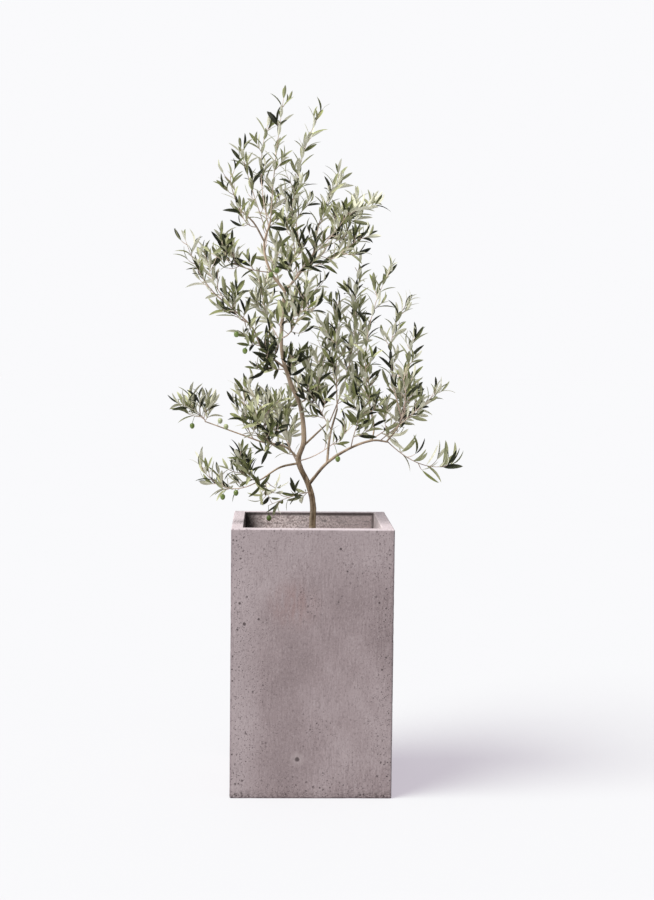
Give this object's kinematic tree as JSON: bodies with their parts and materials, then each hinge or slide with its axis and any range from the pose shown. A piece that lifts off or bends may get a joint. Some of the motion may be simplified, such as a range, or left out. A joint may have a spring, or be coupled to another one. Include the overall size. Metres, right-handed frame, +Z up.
{
  "type": "potted olive tree",
  "caption": "Young olive tree with a slim winding trunk and an airy narrow-leaved crown, standing in a tall square concrete planter.",
  "frame": {"origin": "middle of the planter's flat underside", "axes": "+Z up along the tree, +X to the right as the tree is seen from its front, +Y from the front to the back"},
  "size_m": [0.7744, 0.4364, 1.7732],
  "materials": {
    "concrete": "raw cast concrete, mauve grey, pitted",
    "soil": "dark potting soil",
    "bark": "grey-brown young bark",
    "foliage": "grey-green narrow leaves, silvery beneath"
  },
  "bodies": {
    "root": {"planter": "concrete", "soil": "soil", "trunk": "bark", "bough_right": "bark", "bough_right_upright": "bark", "bough_inner_right": "bark", "bough_low_left": "bark", "bough_left": "bark", "bough_upper_left": "bark", "leader_left": "bark", "bough_top_left": "bark", "leader_right": "bark", "bough_fan": "bark", "bough_right_end": "bark", "foliage_top_leader": "foliage", "foliage_top_mid": "foliage", "foliage_top_left_slim": "foliage", "foliage_top_left": "foliage", "foliage_top_right": "foliage", "foliage_upper_center": "foliage", "foliage_leader_back": "foliage", "foliage_upper_right_up": "foliage", "foliage_upper_right": "foliage", "foliage_upper_right_front": "foliage", "foliage_upper_right_low": "foliage", "foliage_fork_front": "foliage", "foliage_fork_back": "foliage", "foliage_upper_left_inner": "foliage", "foliage_left_upright": "foliage", "foliage_upper_left_tip": "foliage", "foliage_upper_left_end": "foliage", "foliage_upper_left_mid": "foliage", "foliage_upper_left_low": "foliage", "foliage_left_back": "foliage", "foliage_trunk_front_left": "foliage", "foliage_center_high": "foliage", "foliage_front_high": "foliage", "foliage_center_mid": "foliage", "foliage_back_mid": "foliage", "foliage_fan_left": "foliage", "foliage_fan_back": "foliage", "foliage_fan_middle": "foliage", "foliage_fan_front": "foliage", "foliage_fan_right": "foliage", "foliage_inner_low": "foliage", "foliage_right_upright": "foliage", "foliage_right_front": "foliage", "foliage_right_tip": "foliage", "foliage_right_back": "foliage", "foliage_low_right": "foliage", "foliage_inner_hanging": "foliage", "foliage_right_mid": "foliage", "foliage_left_inner": "foliage", "foliage_left_mid": "foliage", "foliage_left_front": "foliage", "foliage_far_left": "foliage", "foliage_low_left_upper": "foliage", "foliage_low_left_tip": "foliage", "foliage_low_front": "foliage", "foliage_low_shoot": "foliage"}
  },
  "joints": []
}
